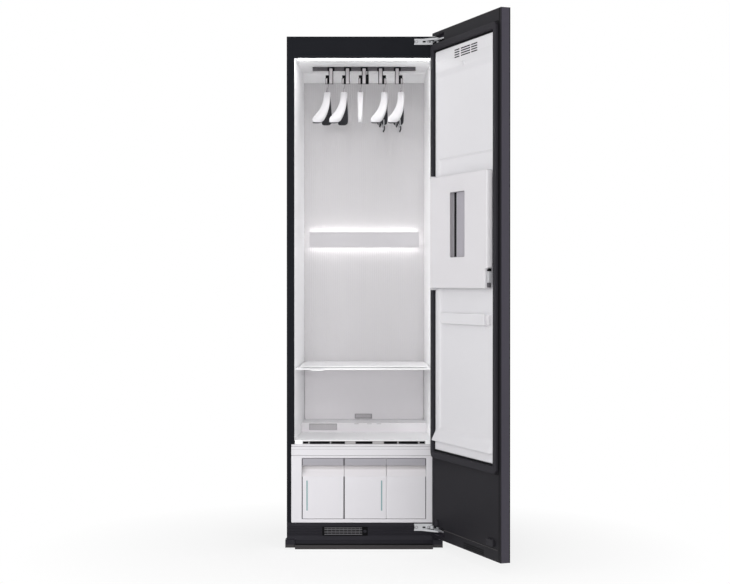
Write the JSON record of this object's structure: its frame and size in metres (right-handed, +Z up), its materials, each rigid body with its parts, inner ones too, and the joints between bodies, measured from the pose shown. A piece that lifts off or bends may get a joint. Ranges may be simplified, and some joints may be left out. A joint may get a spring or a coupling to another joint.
{
  "type": "clothes care steam cabinet",
  "caption": "Tall dark steam closet for clothes: white chamber with moving hanger rail, pull-out containers below, and a full-height door carrying a trouser press.",
  "frame": {"origin": "on the floor, under the middle of the cabinet's front face, on the flat underside of the front skirt", "axes": "+Z up, +Y to the back of the cabinet, +X to the right seen from the front; the door opens towards -Y"},
  "size_m": [0.8066, 1.139, 1.967],
  "materials": {
    "dark_steel": "satin powder coat",
    "door_skin": "smooth dark metal",
    "galvanised": "galvanised sheet",
    "white_liner": "satin moulded",
    "white_front": "satin moulded",
    "grey_panel": "matte",
    "black_plastic": "matte moulded",
    "ribbed_black": "fine ribs",
    "filter_grey": "matte moulded",
    "board_green": "board",
    "dark_rubber": "matte",
    "brushed_steel": "brushed",
    "aluminium": "plain",
    "cast_black": "black enamel"
  },
  "bodies": {
    "cabinet": {"side_panel_left": "dark_steel", "side_panel_right": "dark_steel", "top_panel": "dark_steel", "back_panel": "galvanised", "front_trim": "dark_steel", "inner_liner": "white_liner", "chamber_back": "white_liner", "chamber_floor": "white_liner", "rear_light_bar": "grey_panel", "machine_frame": "white_front", "tank_bay": "white_front", "base_pan": "galvanised", "base_plinth": "ribbed_black", "base_grille": "black_plastic", "skirt": "ribbed_black", "foot_front_left": "dark_rubber", "foot_front_right": "dark_rubber", "foot_rear_left": "dark_rubber", "foot_rear_right": "dark_rubber", "hinge_plate_top": "brushed_steel", "hinge_plate_bottom": "brushed_steel", "compressor": "cast_black", "heat_exchanger": "aluminium", "blower_housing": "black_plastic", "steam_generator": "aluminium", "control_board": "board_green", "rail_motor": "cast_black"},
    "blower": {"blower_wheel": "grey_panel"},
    "crank": {"drive_crank": "brushed_steel"},
    "rail": {"hanger_rail": "black_plastic", "rail_hook_1": "brushed_steel", "rail_hook_2": "brushed_steel", "rail_hook_3": "brushed_steel", "rail_hook_4": "brushed_steel", "rail_hook_5": "brushed_steel"},
    "hanger_one": {"hanger_1": "white_front"},
    "hanger_two": {"hanger_2": "white_front"},
    "hanger_three": {"hanger_3": "white_front"},
    "hanger_four": {"hanger_4": "white_front", "clip_bar_4": "brushed_steel"},
    "hanger_five": {"hanger_5": "white_front", "clip_bar_5": "brushed_steel"},
    "jaw_four_front": {"clip_jaw_4_front": "black_plastic"},
    "jaw_four_back": {"clip_jaw_4_back": "black_plastic"},
    "jaw_five_front": {"clip_jaw_5_front": "black_plastic"},
    "jaw_five_back": {"clip_jaw_5_back": "black_plastic"},
    "shelf": {"shelf": "white_liner"},
    "lint_filter": {"lint_filter": "filter_grey"},
    "water_tank": {"water_tank": "white_front"},
    "drain_tank": {"drain_tank": "white_front"},
    "accessory_bin": {"accessory_bin": "white_front"},
    "door": {"door_outer_panel": "door_skin", "door_frame": "black_plastic", "door_inner_panel": "black_plastic", "door_liner": "white_liner", "door_gasket": "dark_rubber", "hinge_bracket_top": "brushed_steel", "hinge_bracket_bottom": "brushed_steel"},
    "press": {"press_panel": "white_front"},
    "latch": {"press_latch": "brushed_steel"}
  },
  "joints": [
    {"name": "door_hinge", "type": "hinge", "parent": "cabinet", "child": "door", "pos_m": [0.2832, -0.0311, 1], "axis": [0, 0, 1], "range_deg": [-110.9, 9.1]},
    {"name": "press_hinge", "type": "hinge", "parent": "door", "child": "press", "pos_m": [0.25558, -0.07397, 1.2], "axis": [0, 0, -1], "range_deg": [0, 90]},
    {"name": "press_latch_push", "type": "slide", "parent": "press", "child": "latch", "axis": [-0.3567, 0.9342, 0], "range_m": [0, 0.003], "stiffness_N_per_m": 300},
    {"name": "rail_shake", "type": "slide", "parent": "cabinet", "child": "rail", "axis": [1, 0, 0], "range_m": [-0.015, 0.015]},
    {"name": "crank_spin", "type": "hinge", "parent": "cabinet", "child": "crank", "pos_m": [-0.16, 0.235, 1.887], "axis": [0, 0, 1], "continuous": true},
    {"name": "blower_spin", "type": "hinge", "parent": "cabinet", "child": "blower", "pos_m": [0.175, 0.37, 0.2823], "axis": [0, 1, 0], "continuous": true},
    {"name": "hanger_one_swing", "type": "hinge", "parent": "rail", "child": "hanger_one", "pos_m": [-0.1465, 0.235, 1.816], "axis": [0, 1, 0], "range_deg": [-6, 6]},
    {"name": "hanger_two_swing", "type": "hinge", "parent": "rail", "child": "hanger_two", "pos_m": [-0.0805, 0.235, 1.816], "axis": [0, 1, 0], "range_deg": [-6, 6]},
    {"name": "hanger_three_swing", "type": "hinge", "parent": "rail", "child": "hanger_three", "pos_m": [-0.0145, 0.235, 1.816], "axis": [0, 1, 0], "range_deg": [-6, 6]},
    {"name": "hanger_four_swing", "type": "hinge", "parent": "rail", "child": "hanger_four", "pos_m": [0.0805, 0.235, 1.816], "axis": [0, 1, 0], "range_deg": [-6, 6]},
    {"name": "hanger_five_swing", "type": "hinge", "parent": "rail", "child": "hanger_five", "pos_m": [0.1465, 0.235, 1.816], "axis": [0, 1, 0], "range_deg": [-6, 6]},
    {"name": "jaw_four_front_open", "type": "hinge", "parent": "hanger_four", "child": "jaw_four_front", "pos_m": [0.06609, 0.13989, 1.65], "axis": [-0.0872, -0.9962, 0], "range_deg": [0, 25]},
    {"name": "jaw_four_back_open", "type": "hinge", "parent": "hanger_four", "child": "jaw_four_back", "pos_m": [0.08283, 0.33116, 1.65], "axis": [-0.0872, -0.9962, 0], "range_deg": [0, 25]},
    {"name": "jaw_five_front_open", "type": "hinge", "parent": "hanger_five", "child": "jaw_five_front", "pos_m": [0.13209, 0.13989, 1.65], "axis": [-0.0872, -0.9962, 0], "range_deg": [0, 25]},
    {"name": "jaw_five_back_open", "type": "hinge", "parent": "hanger_five", "child": "jaw_five_back", "pos_m": [0.14883, 0.33116, 1.65], "axis": [-0.0872, -0.9962, 0], "range_deg": [0, 25]},
    {"name": "shelf_slide", "type": "slide", "parent": "cabinet", "child": "shelf", "axis": [0, -1, 0], "range_m": [0, 0.2]},
    {"name": "lint_filter_slide", "type": "slide", "parent": "cabinet", "child": "lint_filter", "axis": [0, -1, 0], "range_m": [0, 0.12]},
    {"name": "water_tank_slide", "type": "slide", "parent": "cabinet", "child": "water_tank", "axis": [0, -1, 0], "range_m": [0, 0.21]},
    {"name": "drain_tank_slide", "type": "slide", "parent": "cabinet", "child": "drain_tank", "axis": [0, -1, 0], "range_m": [0, 0.21]},
    {"name": "accessory_bin_slide", "type": "slide", "parent": "cabinet", "child": "accessory_bin", "axis": [0, -1, 0], "range_m": [0, 0.21]}
  ]
}
